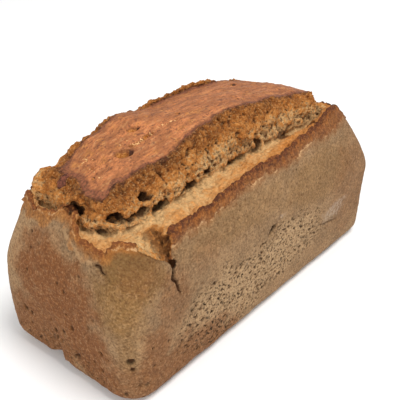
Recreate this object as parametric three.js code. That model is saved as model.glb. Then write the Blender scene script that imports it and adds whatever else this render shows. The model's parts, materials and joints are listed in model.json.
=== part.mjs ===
// A free-standing tin loaf of spelt bread that burst along its shoulders in the oven. The side
// crust ends in a ragged rim, and inside the rim a band of torn crumb climbs to a lifted top
// crust, the cap. The whole loaf is one solid.
//
// Millimetres, +Z up. The loaf stands on z = 0 with its length along X, centred on X and Y.
// Its near long side faces -Y and its torn end faces -X.

import * as THREE from 'three';
import { ImprovedNoise } from 'three/addons/math/ImprovedNoise.js';

const { smoothstep, lerp, degToRad } = THREE.MathUtils;

// ---- driving dimensions ----------------------------------------------------------------

const HALF_LENGTH = 116;
const HALF_WIDTH = 51;

// the side walls are widest at the belt, draw in a little to the foot and lean in above it
const BELT_HEIGHT = 50;
const FOOT_DRAW_IN = 1.7;
const FOOT_CORNERS = { nearLeft: 14, nearRight: 13, farLeft: 14, farRight: 15 };
const BELT_CORNERS = { nearLeft: 15, nearRight: 13, farLeft: 20, farRight: 16 };
const LEAN_HEIGHT = 90;
// each side's lean sets in softly: a small softness bends at once, a large one curves all the way
const LEAN = {
  near: { inset: 7.5, softness: 2 },
  far: { inset: 7.5, softness: 2 },
  left: { inset: 12, softness: 1 },
  right: { inset: 23, softness: 0.15 },
};
const LEAN_CORNERS = { nearLeft: 20, nearRight: 15, farLeft: 25, farRight: 20 };

// the foot's rounded edge, and the step that the tin left in it below the torn end
const FOOT_RADIUS = { near: 8, far: 9, left: 8.5, right: 9 };
const RAISED_FOOT_RADIUS = 10.5;
const RAISED_FOOT_START = 1;
const RAISED_FOOT_END = 3.5;

// height of the rim, by x along the long sides and by y along the torn end
const LONG_RIM = [[-100, 88], [-84, 87], [-52, 88.5], [-20, 93], [20, 93.5], [50, 96], [82, 101.5]];
const TORN_END_RIM = [[-40, 89], [-31, 84], [-24, 78], [-13, 76], [-9, 80], [-6, 92], [2, 94],
  [8, 89], [20, 87], [27, 88], [33, 83], [39, 78]];
const PLAIN_END_RIM = 94;
const RIM_THICKNESS = 2.6;
const RIM_LIP_DROP = 2.4;

// the bottom of the tear, and the edge of the cap
const VALLEY = {
  left: -100, right: 84, near: -27.5, far: 34,
  nearLeft: 17, nearRight: 8, farLeft: 9, farRight: 15,
};
const VALLEY_HEIGHT = [[-97, 83], [-70, 85.5], [-24, 89], [30, 90], [70, 90.5], [84, 88]];
const VALLEY_SPREAD = 3.5;
const CAP = {
  left: -88, right: 81, near: -20, far: 23,
  nearLeft: 8, nearRight: 5, farLeft: 7, farRight: 12,
};
const CAP_NEAR_HEIGHT = [[-93, 98], [-82, 102], [-62, 106.5], [-28, 116.5], [-4, 117.5], [28, 113.5],
  [58, 108], [84, 103]];
const CAP_FAR_HEIGHT = [[-88, 101], [-64, 111], [-46, 116], [-24, 112.5], [10, 114], [40, 112.5],
  [78, 99]];
const CROWN = 2;
const SPINE_HALF_LENGTH = 72;

// the cap's near edge draws back towards the torn end, down to a drooping corner
const CAP_DRAW_BACK = { start: -48, end: -90, depth: 9 };
const CAP_TONGUE = { y: -8, width: 7, reach: 4.5 };

// how much fuller the torn crumb stands at the far corner of the torn end
const TORN_SWELL = 4;

// the crumb that stands above the cap's far edge
const CREST = { x: 12, halfLength: 25, height: 5 };

// how far the surface wanders from those forms
const CRUMB_RELIEF = 2.4;
const CRUMB_GRAIN = 9;
const SHELF_RELIEF = 1;
const RIM_RELIEF = 1.3;
const RIM_GRAIN = 6;
const CRUST_RELIEF = 0.5;
const CRUST_GRAIN = 22;
const NOISE_OFFSET = 40.5;

// hollows: where each lies, how wide it is and how deep it goes
const CAVES = [
  { at: [-97, -15, 82], radius: 6, depth: 6 },
  { at: [-89, -21, 86], radius: 6, depth: 7 },
  { at: [-79, -24, 88], radius: 6, depth: 6 },
  { at: [-65, -23, 96], radius: 5, depth: 6 },
  { at: [-18, -27, 92], radius: 4, depth: 3 },
  { at: [14, -27, 96], radius: 6, depth: 5 },
  { at: [33, 28, 98], radius: 7, depth: 5 },
  { at: [-48, 28, 96], radius: 6, depth: 5 },
];
const CAP_HOLES = [
  { at: [-63, 2, 112], radius: 7, depth: 4 },
  { at: [-43, 14, 117], radius: 5, depth: 3 },
];

// the split below the rim at the near corner of the torn end, and the way it cuts in
const FISSURE = [
  { at: [-90, -44, 86], radius: 8, depth: 6 },
  { at: [-85, -46, 79], radius: 6.5, depth: 5 },
  { at: [-83, -48, 72], radius: 5, depth: 3 },
];
const FISSURE_INWARD = new THREE.Vector3(0.42, 0.9, 0.1).normalize();

// ---- columns: the stations round the loaf ----------------------------------------------

const STEPS = { long: 50, left: 22, right: 14, corner: 4 };

function makeColumns() {
  const columns = [];
  const add = (part, steps) => {
    for (let step = 0; step < steps; step += 1) {
      columns.push({ part, along: (step + 0.5) / steps });
    }
  };
  add('near', STEPS.long);
  add('nearRight', STEPS.corner);
  add('right', STEPS.right);
  add('farRight', STEPS.corner);
  add('far', STEPS.long);
  add('farLeft', STEPS.corner);
  add('left', STEPS.left);
  add('nearLeft', STEPS.corner);
  return columns;
}

const SIDES = {
  near: { from: 'nearLeft', to: 'nearRight', nx: 0, ny: -1 },
  right: { from: 'nearRight', to: 'farRight', nx: 1, ny: 0 },
  far: { from: 'farRight', to: 'farLeft', nx: 0, ny: 1 },
  left: { from: 'farLeft', to: 'nearLeft', nx: -1, ny: 0 },
};

const CORNERS = {
  nearRight: { x: 'right', y: 'near', start: -90 },
  farRight: { x: 'right', y: 'far', start: 0 },
  farLeft: { x: 'left', y: 'far', start: 90 },
  nearLeft: { x: 'left', y: 'near', start: 180 },
};

function cornerCentre(outline, corner) {
  const radius = outline[corner];
  const { x, y } = CORNERS[corner];
  return {
    x: outline[x] + (x === 'left' ? radius : -radius),
    y: outline[y] + (y === 'near' ? radius : -radius),
  };
}

// where a column meets a rounded rectangle, and the way the outline faces there
function meet({ part, along }, outline) {
  if (part in CORNERS) {
    const angle = degToRad(CORNERS[part].start + 90 * along);
    const centre = cornerCentre(outline, part);
    const nx = Math.cos(angle);
    const ny = Math.sin(angle);
    return { x: centre.x + outline[part] * nx, y: centre.y + outline[part] * ny, nx, ny };
  }
  const { from, to, nx, ny } = SIDES[part];
  const start = cornerCentre(outline, from);
  const end = cornerCentre(outline, to);
  return {
    x: nx ? outline[part] : lerp(start.x, end.x, along),
    y: ny ? outline[part] : lerp(start.y, end.y, along),
    nx,
    ny,
  };
}

// how much a column belongs to each of the four sides; the four shares add up to one
function shares({ nx, ny }) {
  return {
    near: Math.max(0, -ny) ** 2,
    far: Math.max(0, ny) ** 2,
    left: Math.max(0, -nx) ** 2,
    right: Math.max(0, nx) ** 2,
  };
}

function blend(share, values) {
  return share.near * values.near + share.far * values.far
    + share.left * values.left + share.right * values.right;
}

// a smooth line through [position, value] stops, level beyond the first and the last
function follow(stops, position) {
  const next = stops.findIndex(([stop]) => position < stop);
  if (next === 0) return stops[0][1];
  if (next < 0) return stops[stops.length - 1][1];
  const [from, low] = stops[next - 1];
  const [to, high] = stops[next];
  return lerp(low, high, smoothstep(position, from, to));
}

// ---- the side walls --------------------------------------------------------------------

function belt(inset, corners) {
  return {
    left: -HALF_LENGTH + inset.left,
    right: HALF_LENGTH - inset.right,
    near: -HALF_WIDTH + inset.near,
    far: HALF_WIDTH - inset.far,
    ...corners,
  };
}

function mixCorners(low, high, share) {
  const corners = {};
  for (const corner of Object.keys(CORNERS)) corners[corner] = lerp(low[corner], high[corner], share);
  return corners;
}

// the outline of the side walls at a height
function wallOutline(height) {
  if (height <= BELT_HEIGHT) {
    const inset = FOOT_DRAW_IN * (1 - height / BELT_HEIGHT);
    const corners = mixCorners(FOOT_CORNERS, BELT_CORNERS, height / BELT_HEIGHT);
    return belt({ left: inset, right: inset, near: inset, far: inset }, corners);
  }
  const rise = (height - BELT_HEIGHT) / (LEAN_HEIGHT - BELT_HEIGHT);
  const inset = {};
  for (const side of Object.keys(LEAN)) {
    const { softness } = LEAN[side];
    const bend = Math.hypot(rise, softness) - softness;
    inset[side] = LEAN[side].inset * bend / (Math.hypot(1, softness) - softness);
  }
  return belt(inset, mixCorners(BELT_CORNERS, LEAN_CORNERS, rise));
}

function wallPoint(column, height, inward = 0) {
  const { x, y, nx, ny } = meet(column, wallOutline(height));
  return new THREE.Vector3(x - nx * inward, y - ny * inward, height);
}

function footRadius(column) {
  const foot = meet(column, wallOutline(0));
  const leftRadius = lerp(FOOT_RADIUS.left, RAISED_FOOT_RADIUS,
    smoothstep(foot.y, RAISED_FOOT_START, RAISED_FOOT_END));
  return blend(shares(foot), { ...FOOT_RADIUS, left: leftRadius });
}

function rimHeight(column) {
  const station = meet(column, wallOutline(LEAN_HEIGHT));
  const longRim = follow(LONG_RIM, station.x);
  const height = blend(shares(station), {
    near: longRim,
    far: longRim - 1,
    left: follow(TORN_END_RIM, station.y),
    right: PLAIN_END_RIM,
  });
  return height + RIM_RELIEF * noiseAt(station.x, station.y, 0, RIM_GRAIN);
}

// ---- the torn band and the cap ---------------------------------------------------------

function valleyPoint(column) {
  const station = meet(column, VALLEY);
  const spread = VALLEY_SPREAD * smoothstep(station.x, 20, 80);
  const height = Math.min(follow(VALLEY_HEIGHT, station.x), rimHeight(column) - 1);
  return new THREE.Vector3(station.x, station.y + spread * station.ny, height);
}

function capHeight(x, y) {
  const across = smoothstep(y, CAP.near, CAP.far);
  return lerp(follow(CAP_NEAR_HEIGHT, x), follow(CAP_FAR_HEIGHT, x), across);
}

function capEdgePoint(column) {
  const { x, y, nx, ny } = meet(column, CAP);
  const share = shares({ nx, ny });
  const ragged = 1.6 * noiseAt(x, y, 7, 11);
  const drawBack = CAP_DRAW_BACK.depth * smoothstep(-x, -CAP_DRAW_BACK.start, -CAP_DRAW_BACK.end);
  const tongue = CAP_TONGUE.reach * Math.exp(-(((y - CAP_TONGUE.y) / CAP_TONGUE.width) ** 2));
  const edgeX = x + nx * ragged - share.left * tongue;
  const edgeY = y + ny * ragged + share.near * drawBack;
  return new THREE.Vector3(edgeX, edgeY, capHeight(edgeX, edgeY));
}

function tornPoint(column, climb) {
  const foot = valleyPoint(column);
  const top = capEdgePoint(column);
  const { nx, ny } = meet(column, CAP);
  const swollen = Math.max(0, -nx) * Math.max(0, ny);
  const inward = 0.25 * climb + 0.75 * climb ** 2.6;
  const point = foot.clone().lerp(top, inward);
  point.z = lerp(foot.z, top.z, 1 - (1 - climb) ** (1.35 + TORN_SWELL * swollen));
  if (ny > 0) {
    const along = (point.x - CREST.x) / CREST.halfLength;
    point.z += CREST.height * ny * Math.exp(-along * along) * smoothstep(climb, 0.5, 0.85);
  }
  return point;
}

function spinePoint(column) {
  const { x } = meet(column, CAP);
  const reach = SPINE_HALF_LENGTH / CAP.right;
  const spineX = THREE.MathUtils.clamp(x * reach, -SPINE_HALF_LENGTH, SPINE_HALF_LENGTH);
  return new THREE.Vector3(spineX, 1, capHeight(spineX, 1) + CROWN);
}

function capPoint(column, inward) {
  const edge = capEdgePoint(column);
  const spine = spinePoint(column);
  const point = edge.clone().lerp(spine, inward);
  const crown = Math.sin(inward * Math.PI / 2);
  point.z = capHeight(point.x, point.y) + CROWN * crown;
  return point;
}

// ---- relief ----------------------------------------------------------------------------

const noise = new ImprovedNoise();

function noiseAt(x, y, z, grain) {
  return noise.noise(x / grain + NOISE_OFFSET, y / grain + NOISE_OFFSET, z / grain + NOISE_OFFSET);
}

function crumble({ x, y, z }, relief) {
  return relief * (noiseAt(x, y, z, CRUMB_GRAIN) + 0.6 * noiseAt(x, y, z, CRUMB_GRAIN / 2));
}

function crustWander({ x, y, z }) {
  return CRUST_RELIEF * noiseAt(x, y, z, CRUST_GRAIN);
}

function hollowing(point, hollows) {
  let depth = 0;
  for (const hollow of hollows) {
    const distance = point.distanceTo(new THREE.Vector3(...hollow.at)) / hollow.radius;
    if (distance < 1) depth += hollow.depth * (1 - distance * distance);
  }
  return depth;
}

// ---- rings, from the base up and over to the spine of the cap --------------------------

const FOOT_ARC = [0, 30, 60, 90];
const WALL_CLIMB = [0.3, 0.65, 1];
const LEAN_CLIMB = [0.2, 0.4, 0.58, 0.74, 0.86, 0.95];
const SHELF_REACH = [0.2, 0.5, 0.8];
const TORN_CLIMB = [0.1, 0.22, 0.34, 0.46, 0.58, 0.7, 0.82, 0.92];
const CAP_REACH = [0, 0.08, 0.22, 0.38, 0.56, 0.76];

function makeRings() {
  const rings = [];
  const add = (kind, place) => rings.push({ kind, place });

  for (const degrees of FOOT_ARC) {
    const angle = degToRad(degrees);
    add('foot', (column) => {
      const radius = footRadius(column);
      return wallPoint(column, radius * (1 - Math.cos(angle)), radius * (1 - Math.sin(angle)));
    });
  }
  for (const climb of WALL_CLIMB) {
    add('wall', (column) => wallPoint(column, lerp(footRadius(column), BELT_HEIGHT, climb)));
  }
  for (const climb of LEAN_CLIMB) {
    add('wall', (column) => wallPoint(column, lerp(BELT_HEIGHT, rimHeight(column), climb)));
  }
  add('rim', (column) => wallPoint(column, rimHeight(column)));
  add('rim', (column) => wallPoint(column, rimHeight(column), RIM_THICKNESS));
  const lip = (column) => {
    const point = wallPoint(column, rimHeight(column), RIM_THICKNESS * 1.8);
    point.z -= RIM_LIP_DROP;
    return point;
  };
  add('shelf', lip);
  for (const reach of SHELF_REACH) {
    add('shelf', (column) => lip(column).lerp(valleyPoint(column), reach));
  }
  add('crumb', valleyPoint);
  for (const climb of TORN_CLIMB) {
    add('crumb', (column) => tornPoint(column, climb));
  }
  for (const reach of CAP_REACH) {
    add('cap', (column) => capPoint(column, reach));
  }
  add('spine', spinePoint);
  return rings;
}

// ---- the closed surface ----------------------------------------------------------------

const RELIEF = {
  foot: (point) => crustWander(point) * smoothstep(point.z, 0, 4),
  wall: crustWander,
  rim: (point) => RIM_RELIEF * noiseAt(point.x, point.y, point.z, RIM_GRAIN),
  shelf: (point) => crumble(point, SHELF_RELIEF),
  crumb: (point) => crumble(point, CRUMB_RELIEF) - hollowing(point, CAVES),
  cap: (point) => crustWander(point) - hollowing(point, CAP_HOLES),
  spine: (point) => crustWander(point) - hollowing(point, CAP_HOLES),
};

// the surface's outward normal at each grid point, from the neighbours on either side
function gridNormal(grid, row, station) {
  const count = grid[row].length;
  const before = grid[row][(station + count - 1) % count];
  const after = grid[row][(station + 1) % count];
  const below = grid[Math.max(row - 1, 0)][station];
  const above = grid[Math.min(row + 1, grid.length - 1)][station];
  const around = after.clone().sub(before);
  const up = above.clone().sub(below);
  const normal = around.cross(up);
  return normal.lengthSq() > 0 ? normal.normalize() : new THREE.Vector3(0, 0, 1);
}

// columns that share a point on the spine: the near and far ones pair up, the ends gather
function spineIndex(columns) {
  return columns.map(({ part }, station) => {
    if (part === 'near') return station;
    if (part === 'far') return STEPS.long - 1 - (station - columns.findIndex((c) => c.part === 'far'));
    return part.toLowerCase().includes('right') ? STEPS.long - 1 : 0;
  });
}

function loafGeometry() {
  const columns = makeColumns();
  const rings = makeRings();
  const plain = rings.map(({ place }) => columns.map((column) => place(column)));
  const surface = plain.map((ring, row) => ring.map((point, station) => {
    const relief = RELIEF[rings[row].kind](point);
    const moved = point.clone().addScaledVector(gridNormal(plain, row, station), relief);
    moved.addScaledVector(FISSURE_INWARD, hollowing(point, FISSURE));
    moved.z = Math.max(moved.z, 0);
    return moved;
  }));

  const positions = [];
  const push = ({ x, y, z }) => positions.push(x, y, z) / 3 - 1;
  const rows = surface.slice(0, -1).map((ring) => ring.map(push));
  const spine = surface[surface.length - 1].slice(0, STEPS.long).map(push);
  rows.push(spineIndex(columns).map((place) => spine[place]));
  const baseCentre = push(new THREE.Vector3(0, 0, 0));

  const triangles = [];
  const addTriangle = (a, b, c) => {
    if (a !== b && b !== c && c !== a) triangles.push(a, b, c);
  };
  const count = columns.length;
  for (let station = 0; station < count; station += 1) {
    const next = (station + 1) % count;
    addTriangle(baseCentre, rows[0][next], rows[0][station]);
    for (let row = 0; row + 1 < rows.length; row += 1) {
      addTriangle(rows[row][station], rows[row][next], rows[row + 1][next]);
      addTriangle(rows[row][station], rows[row + 1][next], rows[row + 1][station]);
    }
  }

  const geometry = new THREE.BufferGeometry();
  geometry.setAttribute('position', new THREE.Float32BufferAttribute(positions, 3));
  geometry.setIndex(triangles);
  geometry.computeVertexNormals();
  return geometry;
}

// ---- the part --------------------------------------------------------------------------

function bakedBread() {
  return new THREE.MeshStandardMaterial({ color: 0xa06a42, roughness: 0.9, metalness: 0 });
}

const loaf = new THREE.Mesh(loafGeometry(), bakedBread());
loaf.name = 'loaf';

const part = new THREE.Group();
part.add(loaf);

export default part;
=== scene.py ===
"""A free-standing tin loaf of spelt bread, burst along its shoulders in the oven.

The side crust ends in a ragged rim. Inside the rim a shelf of torn crumb runs down to a valley,
and a torn face climbs from there to the lifted top crust, the cap. Sizes here are in millimetres
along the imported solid's own axes: X along the loaf, Y across it, Z up from the base.
"""

import json
import math
from itertools import product

import bpy
import numpy as np
from bpy.props import FloatProperty, FloatVectorProperty, IntProperty, PointerProperty
from mathutils.kdtree import KDTree
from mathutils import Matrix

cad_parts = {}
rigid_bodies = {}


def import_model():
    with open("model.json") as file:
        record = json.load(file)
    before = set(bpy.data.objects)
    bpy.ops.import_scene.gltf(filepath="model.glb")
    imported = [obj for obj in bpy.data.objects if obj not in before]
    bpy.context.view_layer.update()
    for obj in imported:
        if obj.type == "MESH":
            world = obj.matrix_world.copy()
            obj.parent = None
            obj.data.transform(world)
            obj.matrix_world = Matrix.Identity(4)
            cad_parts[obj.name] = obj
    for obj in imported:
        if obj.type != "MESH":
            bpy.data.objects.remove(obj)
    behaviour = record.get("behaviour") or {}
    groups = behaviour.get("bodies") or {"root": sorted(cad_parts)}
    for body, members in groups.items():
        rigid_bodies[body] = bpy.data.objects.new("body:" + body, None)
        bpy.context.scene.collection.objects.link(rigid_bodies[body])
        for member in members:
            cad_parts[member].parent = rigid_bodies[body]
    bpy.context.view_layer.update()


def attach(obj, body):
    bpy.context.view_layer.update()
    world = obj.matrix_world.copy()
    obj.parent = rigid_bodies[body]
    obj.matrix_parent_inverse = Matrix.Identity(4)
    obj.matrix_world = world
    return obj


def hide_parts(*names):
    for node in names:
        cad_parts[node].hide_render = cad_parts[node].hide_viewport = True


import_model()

bl_info = {
    "name": "Spelt Tin Loaf",
    "version": (1, 0, 0),
    "blender": (4, 5, 0),
    "location": "3D View > Sidebar > Loaf",
    "description": "Shapes and bakes a tin loaf with a torn shoulder, on a pale floor in soft light",
    "category": "Add Mesh",
}

MM = 0.001


# ---- the loaf's own sizes ------------------------------------------------------------------

HALF_LENGTH = 116
HALF_WIDTH = 51
BELT_HEIGHT = 50
FOOT_DRAW_IN = 1.7
FOOT_CORNERS = {"near_left": 17, "near_right": 13, "far_left": 14, "far_right": 15}
BELT_CORNERS = {"near_left": 15, "near_right": 13, "far_left": 20, "far_right": 16}
LEAN_HEIGHT = 90
LEAN = {"near": (7.5, 2), "far": (7.5, 2), "left": (12, 1), "right": (23, 0.15)}
LEAN_CORNERS = {"near_left": 20, "near_right": 15, "far_left": 25, "far_right": 20}

FOOT_RADIUS = {"near": 8, "far": 9, "left": 8.5, "right": 9}
RAISED_FOOT = {"radius": 10.5, "start": 1, "end": 3.5}

NEAR_RIM = [(-100, 88), (-84, 87), (-52, 88), (-32, 90.5), (-8, 92.5), (14, 91.5), (33, 94),
            (52, 95.5), (68, 99), (82, 101.5)]
FAR_RIM = [(-100, 87), (-84, 86), (-52, 87.5), (-20, 92), (20, 92.5), (50, 95), (82, 100.5)]
TORN_END_RIM = [(-40, 90), (-36, 88.5), (-25, 82.5), (-17, 81.5), (-12, 83), (-8, 88), (-4, 92),
                (3, 94), (8, 89), (20, 87), (27, 89), (33, 84), (39, 79)]
PLAIN_END_RIM = 94
RIM_THICKNESS = 2.6
RIM_LIP_DROP = 2.4

VALLEY = {"left": -100, "right": 84, "near": -27.5, "far": 34,
          "near_left": 17, "near_right": 8, "far_left": 9, "far_right": 15}
VALLEY_HEIGHT = [(-97, 83), (-70, 85.5), (-24, 89), (30, 90), (70, 90.5), (84, 88)]
VALLEY_SPREAD = 3.5

CAP = {"left": -90.5, "right": 79, "near": -20, "far": 23,
       "near_left": 6, "near_right": 5, "far_left": 7, "far_right": 12}
CAP_NEAR_HEIGHT = [(-93, 98), (-82, 102), (-62, 106.5), (-28, 116.5), (-4, 117.5), (28, 113.5),
                   (58, 108), (84, 103)]
CAP_FAR_HEIGHT = [(-88, 101), (-64, 111), (-46, 116), (-24, 113), (10, 113.5), (40, 111.5),
                  (56, 107.5), (72, 103), (82, 99)]
CROWN = 2
SPINE_HALF_LENGTH = 72
CAP_DRAW_BACK = {"start": -48, "end": -90, "depth": 7.5}
CAP_TONGUE = {"y": -8, "width": 7, "reach": 6}
TORN_SWELL = 4
CREST = {"start": -29, "full": -18, "fall": 28, "end": 42, "height": 3.4}
CORNER_NOTCH = {"left": -98.5, "right": -81.5, "outer": -48, "inner": -33, "shelf": 85.5,
                "foot": [(-98.5, 85), (-97, 83), (-94, 80), (-90, 76), (-82, 68.5)]}
LIFTED_FOOT = {"start": 1.5, "end": 15, "lift": 9, "height": 24}
SAGGED_CORNER = {"draw_in": 2.2, "from": 48, "to": 74, "swell": 1.2, "at": 34, "spread": 16}


# ---- stations round the loaf, and rows from the base up and over to the spine ----------------

STEPS = {"near": 196, "near_right": 22, "right": 70, "far_right": 22,
         "far": 196, "far_left": 22, "left": 82, "near_left": 22}
SIDES = {"near": ("near_left", "near_right", 0, -1), "right": ("near_right", "far_right", 1, 0),
         "far": ("far_right", "far_left", 0, 1), "left": ("far_left", "near_left", -1, 0)}
CORNERS = {"near_right": ("right", "near", -90), "far_right": ("right", "far", 0),
           "far_left": ("left", "far", 90), "near_left": ("left", "near", 180)}

# how many rows each zone of the form has, and how far inside the rim its rows are said to lie
BASE_ROWS = (0.02, 0.3, 0.6, 0.85)
ROWS = {"foot": 10, "wall": 27, "lean": 33, "lip": 9, "shelf": 16, "torn": 44, "cap": 32}
SHELF_REACH = 14
TORN_INSIDE = 20
CAP_INSIDE = 30
SPINE_INSIDE_EDGE = 25.0

PART = np.repeat(list(STEPS), list(STEPS.values()))
ALONG = np.concatenate([(np.arange(steps) + 0.5) / steps for steps in STEPS.values()])
STATIONS = len(PART)


def smooth(position, start, end):
    """0 before start, 1 after end, with a soft turn between."""
    share = np.clip((position - start) / (end - start), 0, 1)
    return share * share * (3 - 2 * share)


def follow(stops, position):
    """A smooth line through (position, value) stops, level beyond the first and the last."""
    places, values = np.array(stops, float).T
    after = np.clip(np.searchsorted(places, position, side="right"), 1, len(places) - 1)
    share = smooth(position, places[after - 1], places[after])
    return values[after - 1] + (values[after] - values[after - 1]) * share


def corner_centre(outline, corner, chosen):
    x_side, y_side, _ = CORNERS[corner]
    radius = outline[corner][chosen]
    x = outline[x_side][chosen] + (radius if x_side == "left" else -radius)
    y = outline[y_side][chosen] + (radius if y_side == "near" else -radius)
    return x, y, radius


def meet(outline):
    """Where each station meets a rounded rectangle, and the way the outline faces there."""
    outline = {key: np.broadcast_to(float(value) if np.isscalar(value) else value, STATIONS)
               for key, value in outline.items()}
    x, y, nx, ny = np.zeros((4, STATIONS))
    for part in STEPS:
        chosen = PART == part
        along = ALONG[chosen]
        if part in CORNERS:
            angle = np.radians(CORNERS[part][2] + 90 * along)
            cx, cy, radius = corner_centre(outline, part, chosen)
            nx[chosen], ny[chosen] = np.cos(angle), np.sin(angle)
            x[chosen] = cx + radius * np.cos(angle)
            y[chosen] = cy + radius * np.sin(angle)
            continue
        first, last, facing_x, facing_y = SIDES[part]
        start, end = (corner_centre(outline, c, chosen) for c in (first, last))
        nx[chosen], ny[chosen] = facing_x, facing_y
        side = outline[part][chosen]
        x[chosen] = side if facing_x else start[0] + (end[0] - start[0]) * along
        y[chosen] = side if facing_y else start[1] + (end[1] - start[1]) * along
    return x, y, nx, ny


def shares(nx, ny):
    """How much each station belongs to each side; the four shares add up to one."""
    return {"near": np.maximum(0, -ny) ** 2, "far": np.maximum(0, ny) ** 2,
            "left": np.maximum(0, -nx) ** 2, "right": np.maximum(0, nx) ** 2}


def wall_outline(height):
    """The outline of the side walls, one height for each station."""
    height = np.broadcast_to(np.asarray(height, float), STATIONS)
    below = np.clip(height / BELT_HEIGHT, 0, 1)
    rise = np.maximum(height - BELT_HEIGHT, 0) / (LEAN_HEIGHT - BELT_HEIGHT)
    inset = {}
    for side, (most, softness) in LEAN.items():
        lean = (np.hypot(rise, softness) - softness) / (math.hypot(1, softness) - softness)
        inset[side] = FOOT_DRAW_IN * (1 - below) + most * lean
    outline = {"left": -HALF_LENGTH + inset["left"], "right": HALF_LENGTH - inset["right"],
               "near": -HALF_WIDTH + inset["near"], "far": HALF_WIDTH - inset["far"]}
    for corner in CORNERS:
        low, mid, high = FOOT_CORNERS[corner], BELT_CORNERS[corner], LEAN_CORNERS[corner]
        outline[corner] = low + (mid - low) * below + (high - mid) * rise
    return outline


def wall_points(height, inward=0):
    height = np.broadcast_to(np.asarray(height, float), STATIONS)
    x, y, nx, ny = meet(wall_outline(height))
    return np.stack([x - nx * inward, y - ny * inward, height], 1)


# ---- seeded noise ----------------------------------------------------------------------------

class Grain:
    """Seeded random relief: the same points always give the same values."""

    def __init__(self, seed):
        draws = np.random.default_rng(seed)
        self.order = draws.permutation(256)
        slopes = draws.normal(size=(3, 256))
        self.slopes = slopes / np.linalg.norm(slopes, axis=0)
        self.places = draws.random((256, 3))
        self.luck = draws.random(256)

    def key(self, cell):
        first = self.order[cell[:, 0] & 255]
        second = self.order[(first + cell[:, 1]) & 255]
        return self.order[(second + cell[:, 2]) & 255]

    def waves(self, points, size):
        """Smooth hills and hollows about one size across, from about -1 to 1."""
        scaled = points / size
        cell = np.floor(scaled)
        inside = scaled - cell
        ease = inside ** 3 * (inside * (inside * 6 - 15) + 10)
        cell = cell.astype(np.int64)
        ends = ((cell & 255, inside, 1 - ease), ((cell + 1) & 255, inside - 1, ease))
        x_ends, y_ends, z_ends = ([(at[:, axis], off[:, axis], share[:, axis])
                                   for at, off, share in ends] for axis in range(3))
        total = np.zeros(len(points))
        for at_x, off_x, share_x in x_ends:
            first = self.order[at_x]
            for at_y, off_y, share_y in y_ends:
                second = self.order[(first + at_y) & 255]
                share_xy = share_x * share_y
                for at_z, off_z, share_z in z_ends:
                    slope_x, slope_y, slope_z = self.slopes[:, self.order[(second + at_z) & 255]]
                    slope = slope_x * off_x + slope_y * off_y + slope_z * off_z
                    total += share_xy * share_z * slope
        return 1.6 * total

    def rough(self, points, size, octaves=3, fade=0.55):
        """Waves with ever finer waves on them."""
        total = np.zeros(len(points))
        for octave in range(octaves):
            total += fade ** octave * self.waves(points + 37.7 * octave, size / 2 ** octave)
        return total

    def sway(self, points, size):
        """A smooth random shift, one vector for each point."""
        return np.stack([self.waves(points + shift, size) for shift in (0, 131.3, 257.9)], 1)

    def bubbles(self, points, size):
        """How far off the nearest bubble's centre is, as a share of size, and that bubble's luck."""
        scaled = points / size
        cell = np.floor(scaled).astype(int)
        nearest = np.full(len(points), 9.0)
        luck = np.zeros(len(points))
        for step in product((-1, 0, 1), repeat=3):
            key = self.key(cell + step)
            apart = cell + step + self.places[key] - scaled
            distance = np.einsum("ij,ij->i", apart, apart)
            closer = distance < nearest
            nearest[closer] = distance[closer]
            luck[closer] = self.luck[key[closer]]
        return np.sqrt(nearest), luck


RIM_GRAIN = Grain(3)
CRUMB_GRAIN = Grain(5)
BUBBLE_GRAIN = Grain(8)
FINE_GRAIN = Grain(13)
CRUST_GRAIN = Grain(21)
PATCH_GRAIN = Grain(34)


# ---- the form of the loaf --------------------------------------------------------------------

def flat_points(x, y, z=0.0):
    return np.stack(np.broadcast_arrays(x, y, z), 1).astype(float)


def foot_radius():
    _, y, nx, ny = meet(wall_outline(0))
    share = shares(nx, ny)
    raised = smooth(y, RAISED_FOOT["start"], RAISED_FOOT["end"])
    left = FOOT_RADIUS["left"] + (RAISED_FOOT["radius"] - FOOT_RADIUS["left"]) * raised
    return (share["near"] * FOOT_RADIUS["near"] + share["far"] * FOOT_RADIUS["far"]
            + share["left"] * left + share["right"] * FOOT_RADIUS["right"])


def rim_height():
    x, y, nx, ny = meet(wall_outline(LEAN_HEIGHT))
    share = shares(nx, ny)
    height = (share["near"] * follow(NEAR_RIM, x) + share["far"] * follow(FAR_RIM, x)
              + share["left"] * follow(TORN_END_RIM, y) + share["right"] * PLAIN_END_RIM)
    round_loaf = flat_points(x, y)
    ragged = 0.9 * RIM_GRAIN.rough(round_loaf, 7) + 0.8 * RIM_GRAIN.rough(round_loaf + 9, 2.8, 2)
    return height + ragged * (1 + 0.8 * share["left"])


def lip_width():
    """How broad the rim's top is: thin where the end tore, thicker elsewhere."""
    x, y, _, _ = meet(wall_outline(LEAN_HEIGHT))
    thin = smooth(-x, 84, 88) * smooth(-y, -30, -20)
    return RIM_THICKNESS * (1.4 - 0.6 * thin)


def notch_floor(x, y):
    """How high the floor of the corner split lies: it climbs inward from the wall to the shelf."""
    places, heights = np.array(CORNER_NOTCH["foot"], float).T
    foot = np.interp(x, places, heights)
    inward = np.clip((y - CORNER_NOTCH["outer"]) / (CORNER_NOTCH["inner"] - CORNER_NOTCH["outer"]),
                     0, 1)
    floor = foot + (CORNER_NOTCH["shelf"] - foot) * inward ** 0.8
    beside = (x < CORNER_NOTCH["left"]) | (x > CORNER_NOTCH["right"]) | (y > CORNER_NOTCH["inner"])
    return np.where(beside, 999.0, floor)


def valley_points(rim):
    x, y, _, ny = meet(VALLEY)
    widened = VALLEY_SPREAD * smooth(x, 20, 80)
    return np.stack([x, y + widened * ny, np.minimum(follow(VALLEY_HEIGHT, x), rim - 1)], 1)


def cap_height(x, y):
    across = smooth(y, CAP["near"], CAP["far"])
    near, far = follow(CAP_NEAR_HEIGHT, x), follow(CAP_FAR_HEIGHT, x)
    return near + (far - near) * across


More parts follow.
